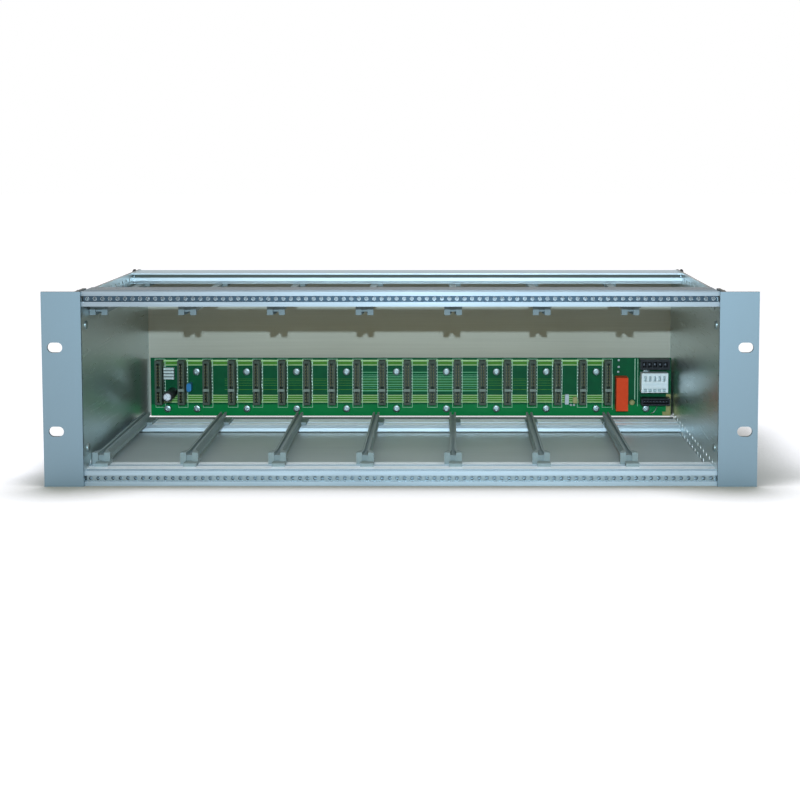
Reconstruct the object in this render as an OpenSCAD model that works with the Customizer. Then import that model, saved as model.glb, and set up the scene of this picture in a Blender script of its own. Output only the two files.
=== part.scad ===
// Subrack card cage, three height units, 84 pitches wide, with a part-height backplane.
// Axes: X across the front, Y from the ear faces to the rear cover, Z up, standing on Z = 0.

/* [Rack size] */
// Width over both rack ears
rack_w = 482.6; // [478:0.2:484]
// Height over the ears, three height units less the stacking clearance
rack_h = 132.55; // [131:0.05:133]
// Depth from the ear faces to the outside of the rear cover
depth = 235; // [228:1:260]
// Horizontal pitch that cards and hole strips keep
pitch = 5.08; // [5.08:0.01:5.1]

/* [Side panels and ears] */
// Clear width between the side panels
bay_w = 429.4; // [428.8:0.1:430]
// Sheet thickness of a side panel
panel_t = 2; // [1.5:0.1:2.2]
// Gap between the rack height and the top and bottom edges of a side panel
panel_inset = 1.3; // [0.5:0.1:2]
// Depth at which the side panels step down behind the rear rails
panel_step_d = 208; // [208:1:212]
// Thickness of a rack ear
ear_t = 2.5; // [2:0.1:3]
// Depth of the ear leg along the side panel
ear_leg_d = 27; // [24:1:29]
// Distance between the columns of rack slots
slot_span_x = 465.1; // [464:0.1:466]
// Distance between the rows of rack slots
slot_span_z = 57.15; // [57:0.05:57.3]
// Length of a rack slot
slot_l = 10.3; // [8:0.1:12]
// Height of a rack slot
slot_h = 6.8; // [6:0.1:7.2]

/* [Rails] */
// Height of a rail section
rail_h = 10.2; // [10:0.1:10.6]
// Depth of a rail section
rail_d = 32.5; // [32:0.5:34]
// Outside depth at the back of the rear rails
rail_back_d = 207.5; // [205:0.5:207.5]
// Distance between the rows of module screws
module_span_z = 122.5; // [122.4:0.05:122.6]
// Radius of a hole in a hole strip
strip_hole_r = 1.25; // [1:0.05:1.4]

/* [Card guides] */
// Pitches from one card guide to the next
guide_step = 12; // [12:1:12]
// Number of card guides in each row
guide_n = 7; // [7:1:7]
// Height of the card slots' floors over the base, and as far below the top
guide_floor = 16.2; // [15.8:0.1:16.4]

/* [Backplane] */
// Depth of the board's front face
board_d = 217; // [214:0.5:218]
// Board thickness
board_t = 1.6; // [1.6:0.1:2]
// Pitches from one slot connector to the next
connector_step = 4; // [4:1:4]
// Number of slot connectors in the regular row
connector_n = 18; // [18:1:18]

/* [Hidden] */
$fn = 48;

mid_z = rack_h / 2;
front_y = -depth / 2;
bay_x = bay_w / 2;
panel_x = bay_x + panel_t;
leg_x = panel_x + ear_t;

// Side panels
panel_bottom = panel_inset;
panel_top = rack_h - panel_inset;
tail_inset = 5.5;
vent_r = 1.75;
vent_pitch = 12.7;
vent_first_d = 21.8;
vent_rows = [[12.8, 0, 15], [6, 2, 11]];

// Corner screws that hold the panels to the rails' ends
rail_bore_u = 13.3;
rail_bore_r = 2.3;
rail_bore_z = 5.1;
rail_screw_r = 2.25;
rail_screw_head_r = 5;
rail_screw_head_h = 2.2;
rail_screw_l = 9;
panel_hole_r = 2.6;

// Ear rivets
rivet_d = 15;
rivet_r = 1.6;
rivet_head_r = 3;
rivet_head_h = 1.1;
rivet_span_z = 84.6;

// Rail section, measured from the rail's face and its outer side
strip_z = (rack_h - module_span_z) / 2;
strip_slot_h = 4.1;
strip_cavity_h = 5.6;
strip_h = 5.4;
strip_face_u = 1.6;
strip_t = 1.8;
screw_channel_u = 8;
lip_u = 1;
seat_groove_u = 6.5;
seat_groove_z = 1.6;
hook_groove_u = [17.5, 21.5];
hook_groove_z = 2.8;
cover_groove_z = [2.9, 4.7];
cover_groove_u = 5;
rail_chamfer = 2.3;
outer_groove_u = [6, 10];
outer_groove_z = 1;

// Rear rail section: thinner on its outer side, with a plain groove in each face
rear_rail_z0 = 1.9;
rear_inner_groove_z = [2.9, 5.4];
rear_outer_groove_z = [4.2, 7.4];
rear_outer_groove_u = 3;

// Hole strips
strip_n = 84;
strip_w = strip_n * pitch;
strip_first_x = -strip_w / 2 + pitch / 2;

// Bottom cover
cover_t = 1.5;
cover_lap = 4.8;

// Card guides
guide_first_x = -strip_w / 2 + pitch;
guide_w = 5;
guide_slot_w = 2;
guide_slot_z = 2.2;
guide_top = guide_floor + guide_slot_z;
guide_waist = 0.9;
guide_back_d = 190;
funnel_w = 12.2;
funnel_slot_w = 4.1;
funnel_d = 25;
funnel_l = 11;
foot_w = 9.2;
foot_shift = 1.6;
foot_t = 2.2;
foot_d = [17, 36];
rear_foot_d = [176.5, 201];
foot_fit = 0.15;

// Rear cover
rear_t = 1.5;
rear_flange = 12.5;
rear_relief = 2.2;
rear_wall_z = [8.4, rack_h - tail_inset];
cover_screw_r = 1.25;
cover_screw_hole_r = 1.35;
cover_screw_z = [30, 66.275, 102.55];
cover_screw_d = 8;
cover_screw_l = 3.4;
cover_screw_head_r = 2.8;
cover_screw_head_h = 1.9;

// Backplane board
board_x = [-210.2, 213.4];
board_z = [10.6, 58.2];
post_first_x = -172.7;
post_step = 8 * pitch;
post_z = [16.6, 46.9];
post_r = 5.5 / 2 / cos(30);
post_xz = concat(
    [for (n = [0:9], z = post_z) [post_first_x + n * post_step, z]],
    [[-196.6, post_z[0]]]
);
m3_r = 1.45;
m3_bore_r = 1.5;
m3_hole_r = 1.6;
m3_head_r = 3;
m3_head_h = 2;
m3_l = 9;

// Slot connectors
connector_first_x = -184.1;
connector_single_x = -202.4;
connector_w = 5.6;
connector_z = [21, 56.8];
connector_h = 10;
connector_key_z = [31.8, 34.4];
connector_slot_w = 2.6;
connector_slot_depth = 8;
connector_end = 2;

// Board components
can_x = -192.5;
can_z = 30;
can_r = 4.1;
can_h = 25;
film_x = -178;
film_z = 35;
array_x = -194.6;
array_z = 45.9;
relay_x = [167.6, 177];
relay_z = [16.6, 43.6];
relay_h = 13;
block_x = [187.8, 209.2];
block_h = 13;
terminal_poles = 5;
terminal_pitch = 3.81;
terminal_z = [31.6, 47.3];
power_x = [187.2, 211.4];
power_z = [49.8, 58];
signal_x = [188.3, 211.6];
signal_z = [20.6, 26.4];
socket_h = 10;
// Height at which bodies pass over the board screws' heads
over_screws = 2.5;

function deep(d) = front_y + d;

// A section drawn in depth and height, run along X between two places
module along_x(x0, x1) {
    translate([x0, 0, 0])
        rotate([90, 0, 90])
            linear_extrude(height = x1 - x0)
                children();
}

// A block given by its corners, with depth in place of Y
module block(x, d, z) {
    translate([x[0], deep(d[0]), z[0]])
        cube([x[1] - x[0], d[1] - d[0], z[1] - z[0]]);
}

// A round bar or bore along X
module bar_x(x0, x1, d, z, r) {
    translate([x0, deep(d), z])
        rotate([0, 90, 0])
            cylinder(r = r, h = x1 - x0);
}

// A round bar or bore along Y
module bar_y(x, d0, d1, z, r) {
    translate([x, deep(d0), z])
        rotate([-90, 0, 0])
            cylinder(r = r, h = d1 - d0);
}

// The same children again at half height, upside down
module flip_z() {
    translate([0, 0, rack_h])
        mirror([0, 0, 1])
            children();
}

// The same children turned end for end in depth about the rails' middle
module flip_depth() {
    translate([0, 2 * deep((ear_t + rail_back_d) / 2), 0])
        mirror([0, 1, 0])
            children();
}

// A domed head that stands on Z = 0
module domed_head(r, h) {
    rotate_extrude()
        polygon([
            [0, 0], [r, 0], [r, h * 0.5], [r * 0.86, h * 0.84],
            [r * 0.5, h], [0, h]
        ]);
}

// A domed screw head with a cross recess
module pan_head(r, h, recess) {
    difference() {
        domed_head(r, h);
        for (a = [0, 90])
            rotate([0, 0, a])
                translate([-recess / 2, -recess / 8, h * 0.45])
                    cube([recess, recess / 4, h]);
    }
}

// A pan-head screw along its own Z, with its head's seat at Z = 0
module pan_screw(r, l, head_r, head_h, recess) {
    translate([0, 0, -l])
        cylinder(r = r, h = l);
    pan_head(head_r, head_h, recess);
}

// ---- Side panels ----

module side_panel_outline() {
    polygon([
        [deep(ear_t), panel_bottom], [deep(panel_step_d), panel_bottom],
        [deep(panel_step_d), tail_inset],
        [deep(depth - rear_t), tail_inset],
        [deep(depth - rear_t), rack_h - tail_inset],
        [deep(panel_step_d), rack_h - tail_inset],
        [deep(panel_step_d), panel_top], [deep(ear_t), panel_top]
    ]);
}

module panel_holes() {
    x0 = bay_x - 1;
    x1 = panel_x + 1;
    for (row = vent_rows, k = [row[1]:row[2]])
        bar_x(x0, x1, vent_first_d + k * vent_pitch, row[0], vent_r);
    for (d = [ear_t + rail_bore_u, rail_back_d - rail_bore_u])
        bar_x(x0, x1, d, rail_bore_z, panel_hole_r);
}

module side_panel() {
    color([0.66, 0.71, 0.72])
        difference() {
            along_x(bay_x, panel_x) side_panel_outline();
            panel_holes();
            flip_z() panel_holes();
            for (side = [-1, 1])
                bar_x(bay_x - 1, panel_x + 1, rivet_d,
                    mid_z + side * rivet_span_z / 2, rivet_r);
            for (z = cover_screw_z)
                bar_x(bay_x - 1, panel_x + 1, depth - cover_screw_d, z,
                    cover_screw_hole_r);
        }
}

module side_panel_right() {
    side_panel();
}

module side_panel_left() {
    mirror([1, 0, 0]) side_panel();
}

// ---- Rack ears ----

module rack_slot() {
    reach = (slot_l - slot_h) / 2;
    for (side = [-1, 1])
        bar_y(side * reach, -1, ear_t + 1, 0, slot_h / 2);
    block([-reach, reach], [-1, ear_t + 1], [-slot_h / 2, slot_h / 2]);
}

module rack_ear() {
    color([0.62, 0.71, 0.78])
        difference() {
            union() {
                block([bay_x, rack_w / 2], [0, ear_t], [0, rack_h]);
                block([panel_x, leg_x], [0, ear_leg_d], [0, rack_h]);
            }
            for (side = [-1, 1])
                translate([slot_span_x / 2, 0, mid_z + side * slot_span_z / 2])
                    rack_slot();
            for (side = [-1, 1])
                bar_x(panel_x - 1, leg_x + 1, rivet_d,
                    mid_z + side * rivet_span_z / 2, rivet_r);
            for (z = [rail_bore_z, rack_h - rail_bore_z])
                bar_x(panel_x - 1, leg_x + 1, ear_t + rail_bore_u, z,
                    panel_hole_r);
        }
}

module rack_ear_right() {
    rack_ear();
}

module rack_ear_left() {
    mirror([1, 0, 0]) rack_ear();
}

// ---- Rails ----

// Extruded section: u runs back from the rail's face, z up from its outer side
module rail_section() {
    slot_z = [strip_z - strip_slot_h / 2, strip_z + strip_slot_h / 2];
    cavity_z = [strip_z - strip_cavity_h / 2, strip_z + strip_cavity_h / 2];
    cavity_u = strip_face_u + strip_t;
    polygon([
        [0, 0], [outer_groove_u[0], 0],
        [outer_groove_u[0], outer_groove_z],
        [outer_groove_u[1], outer_groove_z],
        [outer_groove_u[1], 0], [rail_d, 0],
        [rail_d, cover_groove_z[0]],
        [rail_d - cover_groove_u, cover_groove_z[0]],
        [rail_d - cover_groove_u, cover_groove_z[1]],
        [rail_d, cover_groove_z[1]],
        [rail_d, rail_h - rail_chamfer],
        [rail_d - rail_chamfer, rail_h],
        [hook_groove_u[1], rail_h],
        [hook_groove_u[1], rail_h - hook_groove_z],
        [hook_groove_u[0], rail_h - hook_groove_z],
        [hook_groove_u[0], rail_h],
        [seat_groove_u, rail_h],
        [seat_groove_u, rail_h - seat_groove_z],
        [lip_u, rail_h - seat_groove_z],
        [lip_u, rail_h], [0, rail_h],
        [0, slot_z[1]], [strip_face_u, slot_z[1]],
        [strip_face_u, cavity_z[1]], [cavity_u, cavity_z[1]],
        [cavity_u, slot_z[1]], [screw_channel_u, slot_z[1]],
        [screw_channel_u, slot_z[0]], [cavity_u, slot_z[0]],
        [cavity_u, cavity_z[0]], [strip_face_u, cavity_z[0]],
        [strip_face_u, slot_z[0]], [0, slot_z[0]]
    ]);
}

// Rear section: u runs forward from the rail's back, z up from the frame's base
module rear_rail_section() {
    groove_u = rail_d - cover_groove_u;
    polygon([
        [0, rear_rail_z0], [rail_d, rear_rail_z0],
        [rail_d, rear_inner_groove_z[0]], [groove_u, rear_inner_groove_z[0]],
        [groove_u, rear_inner_groove_z[1]], [rail_d, rear_inner_groove_z[1]],
        [rail_d, rail_h - rail_chamfer],
        [rail_d - rail_chamfer, rail_h],
        [hook_groove_u[1], rail_h],
        [hook_groove_u[1], rail_h - hook_groove_z],
        [hook_groove_u[0], rail_h - hook_groove_z],
        [hook_groove_u[0], rail_h], [0, rail_h],
        [0, rear_outer_groove_z[1]],
        [rear_outer_groove_u, rear_outer_groove_z[1]],
        [rear_outer_groove_u, rear_outer_groove_z[0]],
        [0, rear_outer_groove_z[0]]
    ]);
}

// A rail from its section, which the call gives, bored for the corner screws
module rail() {
    color([0.75, 0.82, 0.86])
        difference() {
            translate([0, deep(ear_t), 0])
                along_x(-bay_x, bay_x) children();
            bar_x(-bay_x - 1, bay_x + 1, ear_t + rail_bore_u, rail_bore_z,
                rail_bore_r);
        }
}

module rail_front_bottom() {
    rail() rail_section();
}

module rail_front_top() {
    flip_z() rail() rail_section();
}

module rail_rear_bottom() {
    flip_depth() rail() rear_rail_section();
}

module rail_rear_top() {
    flip_z() rail_rear_bottom();
}

// ---- Hole strips ----

module hole_strip() {
    color([0.55, 0.60, 0.62])
        difference() {
            block([-strip_w / 2, strip_w / 2],
                [ear_t + strip_face_u, ear_t + strip_face_u + strip_t],
                [strip_z - strip_h / 2, strip_z + strip_h / 2]);
            for (k = [0:strip_n - 1])
                bar_y(strip_first_x + k * pitch, ear_t, ear_t + 6, strip_z,
                    strip_hole_r);
        }
}

module hole_strip_bottom() {
    hole_strip();
}

module hole_strip_top() {
    flip_z() hole_strip();
}

// ---- Card guides ----

// Cross-section of the guide's beam: waisted sides and a card slot on top
module guide_section() {
    w = guide_w / 2;
    s = guide_slot_w / 2;
    z0 = rail_h;
    polygon([
        [-w, z0], [w, z0], [w, z0 + 1.4], [w - guide_waist, z0 + 2.2],
        [w - guide_waist, guide_top - 3.6], [w, guide_top - 2.8],
        [w, guide_top], [s, guide_top], [s, guide_floor],
        [-s, guide_floor], [-s, guide_top], [-w, guide_top],
        [-w, guide_top - 2.8], [-(w - guide_waist), guide_top - 3.6],
        [-(w - guide_waist), z0 + 2.2], [-w, z0 + 1.4]
    ]);
}

// Plan of the lead-in: it narrows from the mouth to the beam
module funnel_plan(mouth, throat) {
    polygon([
        [-mouth / 2, deep(funnel_d)], [mouth / 2, deep(funnel_d)],
        [mouth / 2, deep(funnel_d + funnel_l * 0.3)],
        [throat / 2, deep(funnel_d + funnel_l)],
        [-throat / 2, deep(funnel_d + funnel_l)],
        [-mouth / 2, deep(funnel_d + funnel_l * 0.3)]
    ]);
}

// A foot that rests on a rail, with a hook in the rail's hook groove
module guide_foot(d, groove_d) {
    x = [foot_shift - foot_w / 2, foot_shift + foot_w / 2];
    hook_x = [foot_shift - foot_w / 3, foot_shift + foot_w / 3];
    block(x, d, [rail_h, rail_h + foot_t]);
    block(hook_x, [groove_d[0] + foot_fit, groove_d[1] - foot_fit],
        [rail_h - hook_groove_z + foot_fit, rail_h + 0.1]);
}

module card_guide(n) {
    color([0.47, 0.52, 0.42])
        translate([guide_first_x + (n - 1) * guide_step * pitch, 0, 0])
            difference() {
                union() {
                    translate([0, deep(guide_back_d), 0])
                        rotate([90, 0, 0])
                            linear_extrude(height = guide_back_d - funnel_d)
                                guide_section();
                    translate([0, 0, rail_h])
                        linear_extrude(height = guide_top - rail_h)
                            funnel_plan(funnel_w, guide_w);
                    guide_foot(foot_d,
                        [ear_t + hook_groove_u[0], ear_t + hook_groove_u[1]]);
                    guide_foot(rear_foot_d,
                        [rail_back_d - hook_groove_u[1],
                            rail_back_d - hook_groove_u[0]]);
                }
                translate([0, 0, guide_floor])
                    linear_extrude(height = guide_slot_z + 1)
                        funnel_plan(funnel_slot_w, guide_slot_w);
                translate([0, 0, rail_h + foot_t])
                    linear_extrude(height = rack_h)
                        translate([-funnel_slot_w / 2, deep(funnel_d) - 1])
                            square([funnel_slot_w, 3]);
            }
}

module card_guide_top(n) {
    flip_z() card_guide(n);
}

// ---- Covers ----

module bottom_cover() {
    front = ear_t + rail_d - cover_lap;
    back = rail_back_d - rail_d + cover_lap;
    color([0.60, 0.62, 0.61])
        block([-bay_x + 0.2, bay_x - 0.2], [front, back],
            [cover_groove_z[0], cover_groove_z[0] + cover_t]);
}

module rear_cover() {
    wall_d = depth - rear_t;
    z = rear_wall_z;
    color([0.72, 0.72, 0.68])
        difference() {
            union() {
                block([-panel_x - rear_t, panel_x + rear_t], [wall_d, depth], z);
                block([-bay_x + rear_relief, bay_x - rear_relief],
                    [panel_step_d + 1, depth], [z[1] - rear_t, z[1]]);
                for (side = [0, 1])
                    mirror([side, 0, 0])
                        block([panel_x, panel_x + rear_t],
                            [depth - rear_flange, depth],
                            [z[0] + rear_relief, z[1] - rear_relief]);
            }
            for (z = cover_screw_z)
                bar_x(-panel_x - 3, panel_x + 3, depth - cover_screw_d, z,
                    m3_hole_r);
            for (p = post_xz) {
                bar_y(p[0], wall_d - 1, depth + 1, p[1], m3_hole_r);
                translate([p[0], deep(wall_d), p[1]])
                    rotate([-90, 0, 0])
                        cylinder(r1 = m3_hole_r, r2 = m3_head_r, h = rear_t);
            }
        }
}

// ---- Backplane ----

module backplane_board() {
    color([0.05, 0.42, 0.25])
        difference() {
            block(board_x, [board_d, board_d + board_t], board_z);
            for (p = post_xz)
                bar_y(p[0], board_d - 1, board_d + board_t + 1, p[1],
                    m3_hole_r);
        }
}

// A card-edge connector: two contact slots with a keying bridge between them
module slot_connector(x) {
    w = connector_slot_w / 2;
    front = board_d - connector_h;
    mouth = [front - 1, front + connector_slot_depth];
    color([0.33, 0.33, 0.29])
        difference() {
            union() {
                block([x - connector_w / 2, x + connector_w / 2],
                    [front, board_d], connector_z);
                block([x - connector_w / 2 - 0.5, x + connector_w / 2 + 0.5],
                    [board_d - 2, board_d],
                    [connector_z[0] + 3, connector_z[1] - 3]);
            }
            block([x - w, x + w], mouth,
                [connector_z[0] + connector_end, connector_key_z[0]]);
            block([x - w, x + w], mouth,
                [connector_key_z[1], connector_z[1] - connector_end]);
        }
}

module row_connector(k) {
    slot_connector(connector_first_x + k * connector_step * pitch);
}

module can_capacitor() {
    color([0.12, 0.13, 0.16])
        translate([can_x, deep(board_d), can_z])
            rotate([90, 0, 0])
                rotate_extrude()
                    polygon([
                        [0, 0], [can_r, 0], [can_r, 1.2], [can_r - 0.3, 1.6],
                        [can_r, 2], [can_r, can_h - 0.4],
                        [can_r - 0.4, can_h], [can_r - 0.9, can_h],
                        [can_r - 1, can_h - 0.3], [0, can_h - 0.3]
                    ]);
}

module film_capacitor() {
    color([0.20, 0.35, 0.75])
        translate([film_x, deep(board_d), film_z])
            rotate([90, 0, 0])
                linear_extrude(height = 8)
                    for (side = [-1, 1]) {
                        translate([0, side * 1.6]) circle(r = 1.9);
                        translate([-1.9, -1.6]) square([3.8, 3.2]);
                    }
}

module resistor_array() {
    color([0.80, 0.82, 0.80])
        for (k = [0:3])
            block([array_x - 4.1, array_x + 4.1],
                [board_d - 5, board_d],
                [array_z - 4.6 + k * 2.5, array_z - 2.9 + k * 2.5]);
}

module relay() {
    color([0.86, 0.30, 0.14])
        difference() {
            block(relay_x, [board_d - relay_h, board_d], relay_z);
            for (z = [relay_z[0] + 3, relay_z[1] - 8])
                block([relay_x[0] - 1, relay_x[1] + 1],
                    [board_d - 0.8, board_d + 1], [z, z + 5]);
        }
}

// Two rows of openings: screw slots above and wire entries below a parting line
module terminal_block() {
    front = board_d - block_h;
    top = terminal_z[1];
    first_x = (block_x[0] + block_x[1] - (terminal_poles - 1) * terminal_pitch) / 2;
    color([0.85, 0.87, 0.84])
        difference() {
            union() {
                block(block_x, [front, board_d - over_screws], terminal_z);
                block(block_x, [front, board_d], [terminal_z[0], top - 3.7]);
            }
            for (k = [0:terminal_poles - 1]) {
                x = first_x + k * terminal_pitch;
                block([x - 0.9, x + 0.9], [front - 1, front + 4],
                    [top - 6.5, top - 2.3]);
                block([x - 1.3, x + 1.3], [front - 1, front + 6],
                    [top - 15.2, top - 12.4]);
            }
            block([block_x[0] - 1, block_x[1] + 1], [front - 1, front + 0.8],
                [top - 9.5, top - 8.9]);
        }
}

module power_socket() {
    front = board_d - socket_h;
    color([0.09, 0.10, 0.12])
        difference() {
            union() {
                block(power_x, [front, board_d - over_screws], power_z);
                block(power_x, [front, board_d], [power_z[0] + 1.2, power_z[1]]);
            }
            for (k = [0:4])
                block([power_x[0] + 1.5 + k * 4.3, power_x[0] + 4.7 + k * 4.3],
                    [front - 1, front + 6], [power_z[0] + 2, power_z[1] - 2]);
        }
}

module signal_socket() {
    front = board_d - socket_h;
    color([0.09, 0.10, 0.12])
        difference() {
            block(signal_x, [front, board_d], signal_z);
            block([signal_x[0] + 1.4, signal_x[1] - 1.4], [front - 1, front + 7],
                [signal_z[0] + 1.2, signal_z[1] - 1.2]);
        }
}

// ---- Fasteners ----

module standoffs() {
    color([0.78, 0.74, 0.60])
        for (p = post_xz)
            translate([p[0], deep(board_d + board_t), p[1]])
                rotate([-90, 0, 0])
                    difference() {
                        length = depth - rear_t - board_d - board_t;
                        cylinder(r = post_r, h = length, $fn = 6);
                        translate([0, 0, -1])
                            cylinder(r = m3_bore_r, h = length + 2);
                    }
}

module board_screws() {
    color([0.80, 0.82, 0.82])
        for (p = post_xz)
            translate([p[0], deep(board_d), p[1]])
                rotate([90, 0, 0])
                    pan_screw(m3_r, m3_l, m3_head_r, m3_head_h, 3.2);
}

module standoff_screws() {
    color([0.80, 0.82, 0.82])
        for (p = post_xz)
            translate([p[0], deep(depth), p[1]])
                rotate([90, 0, 0])
                    difference() {
                        union() {
                            cylinder(r1 = m3_head_r, r2 = m3_hole_r, h = rear_t);
                            cylinder(r = m3_r, h = 7);
                        }
                        for (a = [0, 90])
                            rotate([0, 0, a])
                                translate([-1.6, -0.4, -1])
                                    cube([3.2, 0.8, 2]);
                    }
}

module rail_screw(x_seat, d, z) {
    translate([x_seat, deep(d), z])
        rotate([0, 90, 0])
            pan_screw(rail_screw_r, rail_screw_l, rail_screw_head_r,
                rail_screw_head_h, 4.6);
}

module rail_screws() {
    color([0.07, 0.07, 0.08])
        for (side = [0, 1], z = [rail_bore_z, rack_h - rail_bore_z])
            mirror([side, 0, 0]) {
                rail_screw(leg_x, ear_t + rail_bore_u, z);
                rail_screw(panel_x, rail_back_d - rail_bore_u, z);
            }
}

module ear_rivets() {
    color([0.80, 0.82, 0.82])
        for (side = [0, 1], up = [-1, 1])
            mirror([side, 0, 0])
                translate([bay_x, deep(rivet_d), mid_z + up * rivet_span_z / 2])
                    rotate([0, 90, 0]) {
                        grip = panel_t + ear_t;
                        cylinder(r = rivet_r - 0.05, h = grip);
                        translate([0, 0, grip])
                            domed_head(rivet_head_r, rivet_head_h);
                        mirror([0, 0, 1])
                            domed_head(rivet_head_r, rivet_head_h);
                    }
}

module cover_screws() {
    color([0.80, 0.82, 0.82])
        for (side = [0, 1], z = cover_screw_z)
            mirror([side, 0, 0])
                translate([panel_x + rear_t, deep(depth - cover_screw_d), z])
                    rotate([0, 90, 0])
                        pan_screw(cover_screw_r, cover_screw_l, cover_screw_head_r,
                            cover_screw_head_h, 3);
}

side_panel_left();
side_panel_right();
rack_ear_left();
rack_ear_right();
rail_front_bottom();
rail_front_top();
rail_rear_bottom();
rail_rear_top();
hole_strip_bottom();
hole_strip_top();
for (n = [1:guide_n]) {
    card_guide(n);
    card_guide_top(n);
}
bottom_cover();
rear_cover();
backplane_board();
slot_connector(connector_single_x);  // slot_connector_01
for (k = [0:connector_n - 1]) {
    label = str("slot_connector_", k < 8 ? "0" : "", k + 2);
    row_connector(k);
}
can_capacitor();
film_capacitor();
resistor_array();
relay();
terminal_block();
power_socket();
signal_socket();
standoffs();
board_screws();
standoff_screws();
rail_screws();
ear_rivets();
cover_screws();
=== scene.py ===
"""A 19-inch subrack card cage with a part-height backplane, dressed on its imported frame."""

import bpy
import bmesh
import math
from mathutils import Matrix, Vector


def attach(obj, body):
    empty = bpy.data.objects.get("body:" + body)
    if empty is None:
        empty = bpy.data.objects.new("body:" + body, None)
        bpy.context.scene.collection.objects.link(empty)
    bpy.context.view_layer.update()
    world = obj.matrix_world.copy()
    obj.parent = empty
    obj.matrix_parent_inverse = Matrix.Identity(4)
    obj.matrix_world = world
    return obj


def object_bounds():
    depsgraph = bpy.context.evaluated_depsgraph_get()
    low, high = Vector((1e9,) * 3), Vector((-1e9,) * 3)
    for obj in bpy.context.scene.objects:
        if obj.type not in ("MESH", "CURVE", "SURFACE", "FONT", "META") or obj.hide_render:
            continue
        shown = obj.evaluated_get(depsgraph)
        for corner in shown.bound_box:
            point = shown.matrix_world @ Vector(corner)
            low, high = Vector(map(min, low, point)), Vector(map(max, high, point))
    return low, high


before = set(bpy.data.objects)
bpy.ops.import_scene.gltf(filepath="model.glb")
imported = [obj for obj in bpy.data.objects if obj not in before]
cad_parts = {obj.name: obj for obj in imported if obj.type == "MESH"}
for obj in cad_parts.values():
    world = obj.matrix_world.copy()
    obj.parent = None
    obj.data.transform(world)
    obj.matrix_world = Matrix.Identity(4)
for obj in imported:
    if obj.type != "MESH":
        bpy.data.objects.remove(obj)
cad_low, cad_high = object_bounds()

# ---------------------------------------------------------------------------
# The studio: a pale floor, a white surround, and a small lamp over the camera.
# Soft light comes from all round, warm from the room and cool from the back.
# ---------------------------------------------------------------------------
MM = 0.001
FRONT_Y = cad_low.y
CAMERA_X = 33.4 * MM
CAMERA_Z = 230.5 * MM
CAMERA_BACK = 1040 * MM
CAMERA_DOWN = math.radians(4.65)
LAMP_RIGHT = 6.4 * MM
LAMP_BACK = 1210 * MM
LAMP_Z = 358 * MM
LAMP_TURN = math.radians(76.4)

camera_data = bpy.data.cameras.new("camera")
camera_data.lens = 70.1
camera_data.sensor_width = 36
camera_data.shift_x = -0.0625
camera_data.shift_y = -0.16
camera = bpy.data.objects.new("camera", camera_data)
camera.location = (CAMERA_X, FRONT_Y - CAMERA_BACK, CAMERA_Z)
camera.rotation_euler = (math.pi / 2 - CAMERA_DOWN, 0, 0)
bpy.context.scene.collection.objects.link(camera)
bpy.context.scene.camera = camera
bpy.context.scene.view_settings.view_transform = "Standard"


def linear(code):
    """Turns an sRGB hex colour into the linear values that shaders take."""
    values = [int(code[k:k + 2], 16) / 255 for k in (1, 3, 5)]
    return [v / 12.92 if v <= 0.04045 else ((v + 0.055) / 1.055) ** 2.4 for v in values] + [1]


def add(tree, kind, inputs=None, **settings):
    """Adds a node: settings are its properties, inputs are values or the sockets that feed it."""
    made = tree.nodes.new("ShaderNode" + kind)
    for key, value in settings.items():
        setattr(made, key, value)
    for key, value in (inputs or {}).items():
        if isinstance(value, bpy.types.NodeSocket):
            tree.links.new(value, made.inputs[key])
        else:
            made.inputs[key].default_value = value
    return made


world = bpy.data.worlds.new("surround")
bpy.context.scene.world = world
world.use_nodes = True
sky = world.node_tree
sky.nodes.clear()
seen_by = add(sky, "LightPath")
mirrored = add(sky, "Math", {0: seen_by.outputs["Is Glossy Ray"],
                             1: seen_by.outputs["Is Transmission Ray"]}, operation="MAXIMUM")
straight = add(sky, "Math", {0: seen_by.outputs["Is Camera Ray"], 1: mirrored.outputs[0]},
               operation="MAXIMUM")
towards = add(sky, "SeparateXYZ", {0: add(sky, "TexCoord").outputs["Generated"]})
from_back = add(sky, "MapRange", {"Value": towards.outputs["Y"], "From Min": -0.1,
                                  "From Max": 0.2})
soft_colour = add(sky, "Mix", {0: from_back.outputs[0], 6: linear("#fff0a0"),
                               7: linear("#f2f6ff")}, data_type="RGBA")
soft_strength = add(sky, "MapRange", {"Value": from_back.outputs[0], "To Min": 0.44,
                                      "To Max": 0.85})
soft_light = add(sky, "Background", {"Color": soft_colour.outputs[2],
                                     "Strength": soft_strength.outputs[0]})
white_back = add(sky, "Background", {"Color": linear("#ffffff"), "Strength": 1.0})
surround = add(sky, "MixShader", {0: straight.outputs[0], 1: soft_light.outputs[0],
                                  2: white_back.outputs[0]})
add(sky, "OutputWorld", {"Surface": surround.outputs[0]})

lamp_data = bpy.data.lights.new("lamp", "AREA")
lamp_data.shape = "DISK"
lamp_data.size = 14 * MM
lamp_data.energy = 11.5
lamp_data.color = (0.68, 0.87, 1.0)
lamp = bpy.data.objects.new("lamp", lamp_data)
lamp.location = (CAMERA_X + LAMP_RIGHT, FRONT_Y - LAMP_BACK, LAMP_Z)
lamp.rotation_euler = (LAMP_TURN, 0, 0)
bpy.context.scene.collection.objects.link(lamp)

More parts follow.
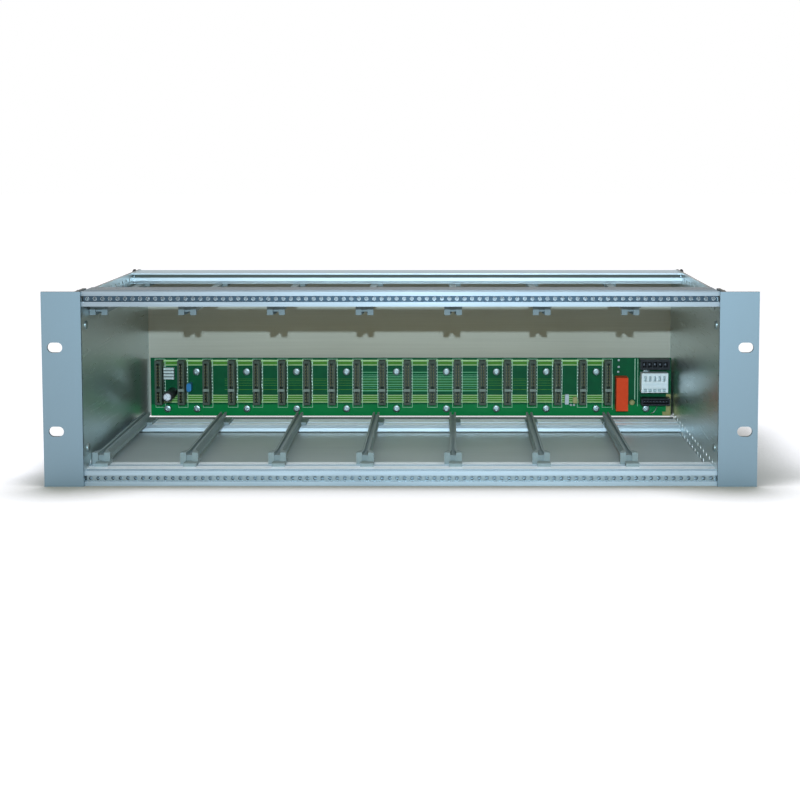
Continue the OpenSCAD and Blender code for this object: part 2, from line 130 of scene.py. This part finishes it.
# Matt white paper. The last part of its white is held back where the cage
# stands close over it, so the soft contact shadow stays, deepened by painted
# shade. Behind the right ear this painted shade spreads farther out over the
# floor, by choice.
SHADOW_REACH = 55 * MM
SHADOW_REACH_RIGHT = 90 * MM
SHADOW_DEPTH = 6.5
WIDENS_ACROSS = (200 * MM, 240 * MM)
WIDENS_BACK = (FRONT_Y, FRONT_Y + 30 * MM)
FLOOR_SINK = 0.05 * MM
floor_mesh = bpy.data.meshes.new("floor")
floor_mesh.from_pydata([(-4, -3, 0), (4, -3, 0), (4, 6, 0), (-4, 6, 0)], [], [(0, 1, 2, 3)])
floor = bpy.data.objects.new("floor", floor_mesh)
floor.location.z = -FLOOR_SINK
bpy.context.scene.collection.objects.link(floor)
paper = bpy.data.materials.new("white_paper")
paper.use_nodes = True
paper_tree = paper.node_tree
paper_tree.nodes.clear()
paper_grain = add(paper_tree, "TexNoise", {"Scale": 60.0, "Detail": 2.0})
paper_tone = add(paper_tree, "Mix", {0: paper_grain.outputs[0], 6: linear("#bababc"),
                                     7: linear("#bebfc1")}, data_type="RGBA")
paper_matt = add(paper_tree, "BsdfDiffuse", {"Color": paper_tone.outputs[2]})
paper_path = add(paper_tree, "LightPath")
paper_seen = add(paper_tree, "Math", {0: paper_path.outputs["Is Glossy Ray"],
                                      1: paper_path.outputs["Is Camera Ray"]},
                 operation="MAXIMUM")
paper_place = add(paper_tree, "SeparateXYZ",
                  {0: add(paper_tree, "TexCoord").outputs["Object"]})
paper_right = add(paper_tree, "MapRange", {"Value": paper_place.outputs["X"],
                                           "From Min": WIDENS_ACROSS[0],
                                           "From Max": WIDENS_ACROSS[1]})
paper_behind = add(paper_tree, "MapRange", {"Value": paper_place.outputs["Y"],
                                            "From Min": WIDENS_BACK[0],
                                            "From Max": WIDENS_BACK[1],
                                            "To Min": SHADOW_REACH,
                                            "To Max": SHADOW_REACH_RIGHT})
paper_reach = add(paper_tree, "MapRange", {"Value": paper_right.outputs[0],
                                           "To Min": SHADOW_REACH,
                                           "To Max": paper_behind.outputs[0]})
paper_open = add(paper_tree, "AmbientOcclusion", {"Distance": paper_reach.outputs[0]},
                 samples=16)
paper_shade = add(paper_tree, "Math", {0: paper_open.outputs["AO"], 1: SHADOW_DEPTH},
                  operation="POWER")
paper_lift = add(paper_tree, "Math", {0: paper_seen.outputs[0], 1: paper_shade.outputs[0]},
                 operation="MULTIPLY")
paper_white = add(paper_tree, "Emission", {"Color": linear("#e0e0e8"),
                                           "Strength": paper_lift.outputs[0]})
paper_sum = add(paper_tree, "AddShader", {0: paper_matt.outputs[0],
                                          1: paper_white.outputs[0]})
add(paper_tree, "OutputMaterial", {"Surface": paper_sum.outputs[0]})
floor_mesh.materials.append(paper)


# ---------------------------------------------------------------------------
# Side panels: flat aluminium sheet, rolled and brushed along the cage's depth,
# with rows of punched holes. The brushing smears reflections up and down.
# ---------------------------------------------------------------------------
def coat(names, material):
    """Gives CAD pieces their finish."""
    for name in names:
        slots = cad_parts[name].data.materials
        slots.clear()
        slots.append(material)


def new_material(name, **fixed):
    """Starts a finish: its tree, its surface shader with fixed values, and places on the cage."""
    material = bpy.data.materials.new(name)
    material.use_nodes = True
    tree = material.node_tree
    tree.nodes.clear()
    surface = add(tree, "BsdfPrincipled",
                  {key.replace("_", " "): value for key, value in fixed.items()})
    add(tree, "OutputMaterial", {"Surface": surface.outputs[0]})
    place = add(tree, "TexCoord").outputs["Object"]
    return material, tree, surface, place


def brushed_sheet(name, dull, bright, rough, along, streak_mm, contrast=0.3, **fixed):
    """Metal sheet or extrusion with fine lines that run along one axis."""
    material, tree, surface, place = new_material(name, **fixed)
    stretch = [1 / (streak_mm * MM)] * 3
    stretch[along] = 1 / (70 * streak_mm * MM)
    streak_place = add(tree, "Mapping", {"Vector": place, "Scale": stretch})
    streaks = add(tree, "TexNoise", {"Vector": streak_place.outputs[0], "Scale": 1.0,
                                     "Detail": 3.0, "Roughness": 0.6})
    clouds = add(tree, "TexNoise", {"Vector": place, "Scale": 11.0, "Detail": 2.0})
    mixed = add(tree, "Math", {0: streaks.outputs[0], 1: clouds.outputs[0]}, operation="ADD")
    tone = add(tree, "MapRange", {"Value": mixed.outputs[0], "From Min": 1 - contrast,
                                  "From Max": 1 + contrast})
    colour = add(tree, "Mix", {0: tone.outputs[0], 6: linear(dull), 7: linear(bright)},
                 data_type="RGBA")
    gloss = add(tree, "MapRange", {"Value": streaks.outputs[0], "From Min": 0.3,
                                   "From Max": 0.7, "To Min": rough - 0.02,
                                   "To Max": rough + 0.02})
    lines = add(tree, "Bump", {"Height": streaks.outputs[0], "Strength": 0.005,
                               "Distance": 0.05 * MM})
    tree.links.new(colour.outputs[2], surface.inputs["Base Color"])
    tree.links.new(gloss.outputs[0], surface.inputs["Roughness"])
    tree.links.new(lines.outputs[0], surface.inputs["Normal"])
    return material


def surface_input(material, key):
    """Finds one input of a finish's surface shader."""
    nodes = material.node_tree.nodes
    return next(node for node in nodes if node.type == "BSDF_PRINCIPLED").inputs[key]


def tint_tops(material, code, lowest=-1.0):
    """Gives a finish another tone on the faces that point straight up, from a height on: painted
    light and shade.
    """
    tree = material.node_tree
    socket = surface_input(material, "Base Color")
    facing = add(tree, "SeparateXYZ", {0: add(tree, "NewGeometry").outputs["True Normal"]})
    on_top = add(tree, "MapRange", {"Value": facing.outputs["Z"], "From Min": 0.8,
                                    "From Max": 0.95})
    height = add(tree, "SeparateXYZ", {0: add(tree, "TexCoord").outputs["Object"]})
    raised = add(tree, "Math", {0: height.outputs["Z"], 1: lowest}, operation="GREATER_THAN")
    both = add(tree, "Math", {0: on_top.outputs[0], 1: raised.outputs[0]},
               operation="MULTIPLY")
    toned = add(tree, "Mix", {0: both.outputs[0], 6: socket.links[0].from_socket,
                              7: linear(code)}, data_type="RGBA")
    tree.links.new(toned.outputs[2], socket)


panel_sheet = brushed_sheet("brushed_aluminium_sheet", "#b4c2c4", "#bfcccf", 0.29, 1, 0.5, 0.8,
                            Metallic=0.85, Anisotropic=0.85, Anisotropic_Rotation=0.25)
# The faces that point up, the sheet's cut edges, get a dark tone: painted shade.
tint_tops(panel_sheet, "#3b3c35")
coat(["side_panel_left", "side_panel_right"], panel_sheet)

# ---------------------------------------------------------------------------
# Rails: extruded aluminium, clear anodised, held between the panels at each
# corner. Die lines run along them, and the skin is satin.
# ---------------------------------------------------------------------------
RIB_PITCH = 0.7 * MM
LEVEL_FACES = 9.9 * MM


def ribbed_rail(name, dull, bright, rough, level):
    """Extruded rail skin: the die leaves fine ribs in the faces that lie level."""
    material = brushed_sheet(name, dull, bright, rough, 0, 0.7, Metallic=1.0)
    tree = material.node_tree
    ribs = add(tree, "TexWave", {"Vector": add(tree, "TexCoord").outputs["Object"],
                                 "Scale": 2 * math.pi / (20 * RIB_PITCH)},
               bands_direction="Y")
    socket = surface_input(material, "Normal")
    relief = add(tree, "Bump", {"Height": ribs.outputs["Fac"], "Strength": 1.0,
                                "Distance": 0.4 * MM,
                                "Normal": socket.links[0].from_socket})
    tree.links.new(relief.outputs[0], socket)
    # The level faces get their own tone, as painted light and shade.
    tint_tops(material, level, LEVEL_FACES)
    return material


# Finish name, dull and bright tone, roughness, and the tone of the level faces.
# The four rails are one extrusion: their four tones and level-face tones are
# painted light and shade.
RAIL_SKINS = {
    "rail_front_top": ("anodised_rail_top_painted_shade", "#7c868c", "#8c969c", 0.4, "#6a747a"),
    "rail_front_bottom": ("anodised_rail_bottom_painted_light", "#96a6af", "#a8b8c0", 0.46, "#e2eaee"),
    "rail_rear_bottom": ("anodised_rail_rear_bottom_painted_light", "#b4c2c8", "#c6d2d8", 0.46, "#f0f6f8"),
    "rail_rear_top": ("anodised_rail_rear_top_painted_light", "#a4b2b8", "#b6c4ca", 0.46, "#a8b6bc"),
}
for rail, skin in RAIL_SKINS.items():
    coat([rail], ribbed_rail(*skin))


# Painted shade: grey-black lengths laid into the grooves of the rear rails,
# where no sheet slides in, stand for the shade in these grooves.
def piece(name, material, made):
    """Keeps a finished mesh as a piece of the cage."""
    mesh = bpy.data.meshes.new(name)
    bmesh.ops.recalc_face_normals(made, faces=made.faces)
    made.to_mesh(mesh)
    made.free()
    mesh.materials.append(material)
    shown = bpy.data.objects.new(name, mesh)
    bpy.context.scene.collection.objects.link(shown)
    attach(shown, "root")
    return shown


def block(made, x, d, z, soften=0.0):
    """Adds a block given by its ranges in millimetres: across, back from the ears, and up."""
    corners = bmesh.ops.create_cube(made, size=MM)["verts"]
    bmesh.ops.scale(made, vec=(x[1] - x[0], d[1] - d[0], z[1] - z[0]), verts=corners)
    middle = Vector((sum(x) / 2 * MM, FRONT_Y + sum(d) / 2 * MM, sum(z) / 2 * MM))
    bmesh.ops.translate(made, vec=middle, verts=corners)
    if soften:
        edges = list({e for v in corners for e in v.link_edges})
        bmesh.ops.bevel(made, geom=edges, offset=soften * MM, segments=2, affect="EDGES")


def turned(made, x, z, profile, sides=20, start=0.0, sweep=1.0, across=False):
    """Adds a turned shape: a profile of (radius, depth), its axis running back from (x, z).

    Where across is set, the axis runs across the cage instead, x is the depth of its centre,
    and the profile holds places across.
    """
    steps = sides if sweep == 1.0 else sides + 1
    rows = []
    for k in range(steps):
        angle = 2 * math.pi * (start + sweep * k / sides)
        row = []
        for r, along in profile:
            side, up = x + r * math.cos(angle), z + r * math.sin(angle)
            place = (along, side) if across else (side, along)
            row.append(made.verts.new((place[0] * MM, FRONT_Y + place[1] * MM, up * MM)))
        rows.append(row)
    last = len(profile)
    for k in range(sides):
        here, there = rows[k], rows[(k + 1) % steps]
        for j in range(last):
            face = [here[j], there[j], there[(j + 1) % last], here[(j + 1) % last]]
            made.faces.new(face)
    if sweep != 1.0:
        made.faces.new(rows[0])
        made.faces.new(list(reversed(rows[-1])))
    bmesh.ops.remove_doubles(made, verts=made.verts, dist=0.001 * MM)


def plain_finish(name, dark, light, rough, grain_mm, bump=0.1, **fixed):
    """A cast, moulded, plated or coated surface with a faint mottle."""
    material, tree, surface, place = new_material(name, **fixed)
    grain = add(tree, "TexNoise", {"Vector": place, "Scale": 1 / (grain_mm * MM),
                                   "Detail": 3.0})
    colour = add(tree, "Mix", {0: grain.outputs[0], 6: linear(dark), 7: linear(light)},
                 data_type="RGBA")
    gloss = add(tree, "MapRange", {"Value": grain.outputs[0], "To Min": rough - 0.05,
                                   "To Max": rough + 0.05})
    relief = add(tree, "Bump", {"Height": grain.outputs[0], "Strength": bump,
                                "Distance": 0.05 * MM})
    tree.links.new(colour.outputs[2], surface.inputs["Base Color"])
    tree.links.new(gloss.outputs[0], surface.inputs["Roughness"])
    tree.links.new(relief.outputs[0], surface.inputs["Normal"])
    return material


BAY_HALF = 214.7
PANEL_T = 2.0
VENT_PITCH = 12.7
VENT_FIRST = 21.8
VENT_R = 1.75
RACK_H = 132.55
REAR_RAIL_FRONT = 175.0
GROOVE_Z = (2.95, 5.35)
GROOVE_D = (REAR_RAIL_FRONT + 0.4, REAR_RAIL_FRONT + 2.2)
STRIP_X = (-BAY_HALF + 1, BAY_HALF - 1)
VENT_ROWS = ((12.8, 0, 15), (6.0, 2, 11))
strip_plastic = plain_finish("painted_shade_strip", "#3a4744", "#46524f", 0.55, 2.0)
filler = bmesh.new()
block(filler, STRIP_X, GROOVE_D, (RACK_H - GROOVE_Z[1], RACK_H - GROOVE_Z[0]), 0.2)
block(filler, STRIP_X, GROOVE_D, (4.5, GROOVE_Z[1]), 0.2)
# A last length of painted shade lies along the rear edge of the lower rear rail.
block(filler, STRIP_X, (203.6, 207.4), (10.2, 11.2), 0.2)
piece("groove_shade_strips", strip_plastic, filler)

# Punched holes keep a bare sheared wall, which catches the light in each panel;
# its near-white tone is partly painted highlight.
bright_shear = plain_finish("sheared_wall_painted_highlight", "#dfe7ea", "#f2f6f8", 0.4, 0.8, Metallic=0.4)
sheared = bmesh.new()
for side in (-1, 1):
    for z, first, last in VENT_ROWS:
        for k in range(first, last + 1):
            turned(sheared, VENT_FIRST + k * VENT_PITCH, z,
                   [(VENT_R + 0.02, side * (BAY_HALF + 0.05)),
                    (VENT_R - 0.15, side * (BAY_HALF + 0.05)),
                    (VENT_R - 0.15, side * (BAY_HALF + PANEL_T - 0.1)),
                    (VENT_R + 0.02, side * (BAY_HALF + PANEL_T - 0.1))], 16, across=True)
piece("sheared_hole_walls", bright_shear, sheared)

# ---------------------------------------------------------------------------
# Corner screws: black oxide steel, driven through the panels into the rails'
# screw channels. The film is dark and slightly oily.
# ---------------------------------------------------------------------------
black_oxide = plain_finish("black_oxide_steel", "#101113", "#1d1e20", 0.38, 1.5, Metallic=0.6)
coat(["rail_screws"], black_oxide)

# ---------------------------------------------------------------------------
# Rack ears: L-shaped aluminium, fine matt and clear anodised with a cold
# blue-grey cast, riveted to the outside of each side panel.
# ---------------------------------------------------------------------------
ear_skin = plain_finish("matt_anodised_ear", "#72848d", "#7a8c95", 0.54, 0.8, 0.08,
                        Metallic=1.0)
# The faces of the ears that point up get a dark tone: painted shade.
tint_tops(ear_skin, "#45463f")
coat(["rack_ear_left", "rack_ear_right"], ear_skin)
zinc = plain_finish("bright_zinc_plate", "#7f8f90", "#9aa8a8", 0.42, 1.0, Metallic=1.0)
coat(["ear_rivets"], zinc)

# ---------------------------------------------------------------------------
# Hole strips: plated steel strip in each front rail, drilled and tapped at
# every pitch. The upper one gets a dark tone, a painted dark reflection, so
# its bright drilled edges show.
# ---------------------------------------------------------------------------
PITCH = 5.08
STRIP_HOLES = 84
STRIP_Z = 5.025
STRIP_FACE = 4.1
HOLE_R = 1.25
dark_strip = plain_finish("strip_with_painted_dark_reflection", "#33434f", "#3f505c", 0.28, 1.2, Metallic=1.0)
grey_strip = plain_finish("grey_plated_strip", "#7f9096", "#93a3a8", 0.38, 1.2, Metallic=1.0)
coat(["hole_strip_top"], dark_strip)
coat(["hole_strip_bottom"], grey_strip)
# The drilled edges are bare metal, and their near-white tone is partly painted highlight.
drilled_edge = plain_finish("bare_drilled_edge_painted_highlight", "#c8d0d2", "#e0e5e6", 0.25, 0.8, Metallic=0.8)
rims = bmesh.new()
for k in range(STRIP_HOLES):
    turned(rims, (k - (STRIP_HOLES - 1) / 2) * PITCH, RACK_H - STRIP_Z,
           [(HOLE_R + 0.02, STRIP_FACE + 1.5), (HOLE_R - 0.18, STRIP_FACE + 1.5),
            (HOLE_R - 0.12, STRIP_FACE + 0.1), (HOLE_R + 0.02, STRIP_FACE + 0.1)], 14)
piece("drilled_edges", drilled_edge, rims)

# ---------------------------------------------------------------------------
# Bottom cover: bare rolled aluminium sheet, slid into the rails' grooves.
# ---------------------------------------------------------------------------
cover_sheet = brushed_sheet("rolled_sheet", "#b2bec2", "#c2cccf", 0.5, 0, 1.5, Metallic=0.5)
coat(["bottom_cover"], cover_sheet)

# ---------------------------------------------------------------------------
# Card guides: moulded glass-filled plastic, mid grey, clipped into the rails
# by their feet. The upper ones get a darker tone, which is painted shade.
# Both are matt.
# ---------------------------------------------------------------------------
GUIDE_TONES = {"bottom": ("#7c8c92", "#8d9da2"), "top": ("#6c7c82", "#7c8c92")}
for row, tones in GUIDE_TONES.items():
    coat([f"card_guide_{row}_{n}" for n in range(1, 8)],
         plain_finish(f"guide_plastic_toned_by_light_{row}", *tones, 0.5, 2.0,
                      Specular_IOR_Level=0.4))

# ---------------------------------------------------------------------------
# Backplane board: glass-epoxy laminate under glossy green solder resist, its
# copper tracks etched below the resist and raised a little where they run.
# ---------------------------------------------------------------------------
BOARD_FACE = 217.0
MARGIN_TOP = (20.2 * MM, 19.6 * MM)
ROW_X = [-184.1 + k * 4 * PITCH for k in range(18)]
SINGLE_X = -202.4
ALL_X = [SINGLE_X] + ROW_X
board_green = plain_finish("green_solder_resist", "#00462c", "#006038", 0.35, 7.0,
                           Specular_IOR_Level=0.1)
# The margin under the tracks has no copper below it, and shows a clearer green.
board_tree = board_green.node_tree
board_base = surface_input(board_green, "Base Color")
board_height = add(board_tree, "SeparateXYZ",
                   {0: add(board_tree, "TexCoord").outputs["Object"]})
in_margin = add(board_tree, "MapRange", {"Value": board_height.outputs["Z"],
                                         "From Min": MARGIN_TOP[0],
                                         "From Max": MARGIN_TOP[1]})
with_margin = add(board_tree, "Mix", {0: in_margin.outputs[0],
                                      6: board_base.links[0].from_socket,
                                      7: linear("#007c40")}, data_type="RGBA")
board_tree.links.new(with_margin.outputs[2], board_base)
coat(["backplane_board"], board_green)


def tracks(name, rows, x, material):
    """Lays straight tracks across the board: rows of (height, width) in millimetres."""
    made = bmesh.new()
    for z, width in rows:
        block(made, x, (BOARD_FACE - 0.06, BOARD_FACE + 0.1), (z - width / 2, z + width / 2))
    return piece(name, material, made)


# Tracks under resist read as a lighter, yellower green than the bare laminate.
covered_copper = plain_finish("copper_under_resist", "#3f8029", "#5a9236", 0.35, 3.0,
                              Specular_IOR_Level=0.1)
tinned_copper = plain_finish("tinned_copper", "#a4d088", "#c0e4a4", 0.35, 2.0,
                             Specular_IOR_Level=0.3)
BUS_X = (-206.0, 164.0)
tracks("covered_tracks", [(54.0, 1.9), (26.6, 1.0), (24.8, 1.0), (22.9, 1.2)], BUS_X,
       covered_copper)
tracks("bus_tracks", [(55.9, 1.3), (52.4, 0.7), (27.5, 0.6), (25.7, 0.45), (23.9, 0.45),
                      (21.9, 0.7)], BUS_X, tinned_copper)
# Signal tracks join the middle slots only; they are thin and lie under resist.
signal_copper = plain_finish("signal_tracks_under_resist", "#62bc88", "#86d6a4", 0.35, 3.0,
                             Specular_IOR_Level=0.1)
tracks("signal_tracks", [(46.4, 0.5), (44.2, 0.35), (42.9, 0.35), (41.6, 0.35), (40.3, 0.35),
                         (38.5, 0.5), (36.5, 0.5), (34.8, 0.35), (33.3, 0.35), (31.2, 0.7)],
       (-42.0, 60.0), signal_copper)
tracks("long_signal_tracks", [(40.9, 0.3), (39.4, 0.3), (37.5, 0.3), (35.6, 0.3), (32.2, 0.4)],
       (-150.0, 120.0), covered_copper)

# Component outlines, printed on the resist in pale ink: lines without words.
LINE = 0.32
legend_ink = plain_finish("pale_legend_ink", "#98c8a8", "#b0d8be", 0.5, 1.0)
outlines = bmesh.new()
ink = (BOARD_FACE - 0.09, BOARD_FACE + 0.1)
for x in ALL_X:
    for reach, low, high in ((4.1, 30.2, 57.2), (3.9, 17.6, 30.2)):
        for side in (-1, 1):
            at = x + side * reach
            block(outlines, (at - LINE / 2, at + LINE / 2), ink, (low, high))
    for z in (17.6, 57.2):
        block(outlines, (x - 4.1, x + 4.1), ink, (z - LINE / 2, z + LINE / 2))
for x, z in (((183.6, 184.2), (24.0, 57.5)), ((165.6, 166.0), (15.4, 45.0)),
             ((186.0, 186.4), (18.5, 57.5))):
    block(outlines, x, ink, z)
piece("component_outlines", legend_ink, outlines)

# Plated holes beside the connectors, with bright solder in them.
solder = plain_finish("bright_solder", "#b5c2bf", "#d3dcd9", 0.28, 0.8, Metallic=0.9)
pads = bmesh.new()
for x in ALL_X:
    for n in range(13):
        for side in (-1, 1):
            turned(pads, x + side * 3.62, 23.5 + n * 2.54,
                   [(0.0, BOARD_FACE - 0.28), (0.34, BOARD_FACE - 0.2),
                    (0.42, BOARD_FACE + 0.05), (0.0, BOARD_FACE + 0.05)], 8)
piece("solder_pads", solder, pads)

# The corner below the sockets is left without resist and shows the tan glass.
bare_glass = plain_finish("bare_glass_epoxy", "#8f8a4c", "#a39b5e", 0.45, 3.0)
corner = bmesh.new()
block(corner, (209.4, 213.2), (BOARD_FACE - 0.05, BOARD_FACE + 0.1), (10.9, 28.5))
block(corner, (206.6, 209.4), (BOARD_FACE - 0.05, BOARD_FACE + 0.1), (10.9, 14.0))
piece("bare_corner", bare_glass, corner)

# ---------------------------------------------------------------------------
# Slot connectors: moulded grey-brown plastic bodies soldered to the board,
# with two rows of gilded spring contacts and a pale key across each slot.
# ---------------------------------------------------------------------------
SLOT_FRONT = 207.0
PIN_STEP = 2.54
SLOT_Z = (23.0, 54.8)
KEY_Z = (31.8, 34.4)
CONNECTORS = [f"slot_connector_{k:02d}" for k in range(1, 20)]
connector_plastic = plain_finish("moulded_connector", "#39463f", "#4a564b", 0.5, 1.5,
                                 Specular_IOR_Level=0.2)
coat(CONNECTORS, connector_plastic)
gilt = plain_finish("gilded_contacts", "#5f6045", "#7c7a58", 0.4, 0.8, Metallic=0.8)
springs = bmesh.new()
for x in ALL_X:
    z = SLOT_Z[0] + 1.4
    while z < SLOT_Z[1] - 0.6:
        if not KEY_Z[0] - 0.7 < z < KEY_Z[1] + 0.7:
            for side in (-1, 1):
                at = x + side * 0.95
                block(springs, (at - 0.28, at + 0.28), (SLOT_FRONT + 0.7, SLOT_FRONT + 7.0),
                      (z - 0.6, z + 0.6))
        z += PIN_STEP
piece("spring_contacts", gilt, springs)
key_plastic = plain_finish("pale_key_plastic", "#64726a", "#7c8a82", 0.5, 1.5)
keys = bmesh.new()
for x in ROW_X:
    block(keys, (x - 2.5, x + 2.5), (SLOT_FRONT - 0.5, SLOT_FRONT + 1.0),
          (KEY_Z[0] + 0.2, KEY_Z[1] - 0.2), 0.25)
piece("slot_keys", key_plastic, keys)

# ---------------------------------------------------------------------------
# Can capacitor: an aluminium can in a black shrunk sleeve, soldered upright.
# Its bare top is scored in three, so that it can vent.
# ---------------------------------------------------------------------------
CAN_X = -192.5
CAN_Z = 30.0
CAN_TOP = 192.0
coat(["can_capacitor"], plain_finish("black_can_sleeve", "#14161b", "#22252c", 0.35, 2.0))
bare_can = plain_finish("bare_can_aluminium", "#c9ced6", "#e2e6ec", 0.35, 1.2, Metallic=0.5)
lid = bmesh.new()
for k in range(3):
    turned(lid, CAN_X, CAN_Z, [(0.25, CAN_TOP + 0.35), (0.3, CAN_TOP - 0.05),
                               (2.7, CAN_TOP - 0.05), (3.05, CAN_TOP + 0.35)],
           8, k / 3 + 0.012, 1 / 3 - 0.024)
piece("can_top", bare_can, lid)

# ---------------------------------------------------------------------------
# Film capacitor, resistors and relay: dipped, moulded and cased parts, all
# soldered to the board by wire legs, of which the ends show.
# ---------------------------------------------------------------------------
coat(["film_capacitor"], plain_finish("blue_dipped_coat", "#1f6aa4", "#3585bd", 0.3, 2.0,
                                      Specular_IOR_Level=0.3))
coat(["resistor_array"], plain_finish("pale_moulded_body", "#b4c4c4", "#ccd8d8", 0.45, 1.0))
coat(["relay"], plain_finish("orange_relay_case", "#d23c14", "#e24a1e", 0.4, 3.0,
                             Specular_IOR_Level=0.15))
tin_wire = plain_finish("tinned_wire", "#aebab8", "#ccd6d3", 0.3, 0.8, Metallic=0.9)
ARRAY_X = -194.6
ARRAY_Z = 45.9
ARRAY_STEP = 2.5
legs = bmesh.new()
for k in range(4):
    z = ARRAY_Z + (k - 1.5) * ARRAY_STEP
    for side in (-1, 1):
        at = ARRAY_X + side * 3.4
        block(legs, (at - 0.35, at + 0.35), (BOARD_FACE - 5.15, BOARD_FACE - 0.2),
              (z - 0.95, z + 0.95), 0.1)
piece("resistor_caps", tin_wire, legs)

# ---------------------------------------------------------------------------
# Small parts near the right end: a pale trimmer, a tan choke, chip parts over
# the relay, a disc capacitor, and a bare wire link under the sockets.
# ---------------------------------------------------------------------------
pale_parts = bmesh.new()
block(pale_parts, (126.9, 130.1), (BOARD_FACE - 3.2, BOARD_FACE), (20.4, 28.6), 0.3)
for x, z in ((131.9, 19.6), (134.4, 19.6), (170.6, 56.4), (170.6, 50.9), (170.2, 46.9)):
    block(pale_parts, (x - 0.8, x + 0.8), (BOARD_FACE - 1.1, BOARD_FACE), (z - 0.7, z + 0.7),
          0.15)
piece("pale_parts",
      plain_finish("pale_ceramic", "#a9b3bd", "#c6ced6", 0.45, 1.0), pale_parts)
tan_parts = bmesh.new()
block(tan_parts, (133.4, 137.0), (BOARD_FACE - 2.6, BOARD_FACE), (21.2, 26.4), 0.5)
turned(tan_parts, 181.6, 21.8, [(0.0, BOARD_FACE - 2.2), (1.6, BOARD_FACE - 2.2),
                                (2.2, BOARD_FACE - 1.6), (2.2, BOARD_FACE - 0.8),
                                (1.6, BOARD_FACE - 0.2), (0.0, BOARD_FACE - 0.2)], 20)
piece("tan_parts",
      plain_finish("tan_resin_coat", "#8c8b50", "#a6a468", 0.45, 1.5), tan_parts)


def wire(made, points, radius, sides=8):
    """Adds a round wire through points given in millimetres: across, back, and up."""
    path = [Vector((x * MM, FRONT_Y + d * MM, z * MM)) for x, d, z in points]
    rows = []
    for k, here in enumerate(path):
        ahead = (path[min(k + 1, len(path) - 1)] - path[max(k - 1, 0)]).normalized()
        out = ahead.cross(Vector((0, 1, 0))).normalized()
        other = ahead.cross(out)
        rows.append([made.verts.new(here + radius * MM * (
            out * math.cos(2 * math.pi * j / sides) + other * math.sin(2 * math.pi * j / sides)))
            for j in range(sides)])
    for one, two in zip(rows, rows[1:]):
        for j in range(sides):
            made.faces.new([one[j], one[(j + 1) % sides], two[(j + 1) % sides], two[j]])
    made.faces.new(rows[0])
    made.faces.new(list(reversed(rows[-1])))


LINK_STEPS = 12
link_route = []
for k in range(LINK_STEPS + 1):
    t = k / LINK_STEPS
    bow = math.sin(math.pi * t)
    link_route.append((197.0 + 5.0 * t, BOARD_FACE - 0.4 - 1.6 * bow, 12.9 + 5.2 * t - 1.3 * bow))
link = bmesh.new()
wire(link, link_route, 0.4)
piece("wire_link", tin_wire, link)

# ---------------------------------------------------------------------------
# Terminal block and sockets: white and black moulded bodies. The block holds
# a plated clamp in each wire entry, and each socket has plated pins.
# ---------------------------------------------------------------------------
BLOCK_FRONT = 204.0
BLOCK_TOP = 47.3
POLE_STEP = 3.81
POLE_X = [198.5 + (k - 2) * POLE_STEP for k in range(5)]
coat(["terminal_block"], plain_finish("white_polyamide", "#d6e0e6", "#e4ecf0", 0.45, 2.0))
coat(["power_socket", "signal_socket"],
     plain_finish("black_polyamide", "#15181c", "#20242a", 0.45, 2.0,
                  Specular_IOR_Level=0.2))
clamps = bmesh.new()
for x in POLE_X:
    block(clamps, (x - 1.15, x + 1.15), (BLOCK_FRONT + 0.6, BLOCK_FRONT + 1.6),
          (BLOCK_TOP - 14.9, BLOCK_TOP - 12.9), 0.2)
    block(clamps, (x - 0.62, x + 0.62), (BLOCK_FRONT + 2.2, BLOCK_FRONT + 3.4),
          (BLOCK_TOP - 6.2, BLOCK_TOP - 2.6), 0.2)
piece("block_clamps", zinc, clamps)
dull_tin = plain_finish("dull_tin", "#4c5258", "#62686e", 0.45, 0.8, Metallic=0.6)
pins = bmesh.new()
for k in range(5):
    x = 190.3 + k * 4.3
    block(pins, (x - 0.5, x + 0.5), (209.0, 212.8), (53.2, 54.8), 0.15)
for k in range(8):
    x = 191.0 + k * PIN_STEP
    block(pins, (x - 0.3, x + 0.3), (209.5, 213.8), (23.2, 23.8), 0.1)
piece("socket_pins", dull_tin, pins)

# ---------------------------------------------------------------------------
# Standoffs and board screws: nickel-plated brass pillars and zinc screws.
# ---------------------------------------------------------------------------
coat(["standoffs"], plain_finish("nickel_plated_brass", "#b9b39b", "#cdc8b2", 0.3, 1.5,
                                 Metallic=1.0))
coat(["board_screws", "standoff_screws", "cover_screws"], zinc)

# ---------------------------------------------------------------------------
# Rear cover: one folded sheet of aluminium, pickled to a flat warm grey.
# ---------------------------------------------------------------------------
rear_sheet = brushed_sheet("pickled_folded_sheet", "#b8b6aa", "#c2c0b4", 0.75, 0, 1.5,
                           Specular_IOR_Level=0.1)
coat(["rear_cover"], rear_sheet)
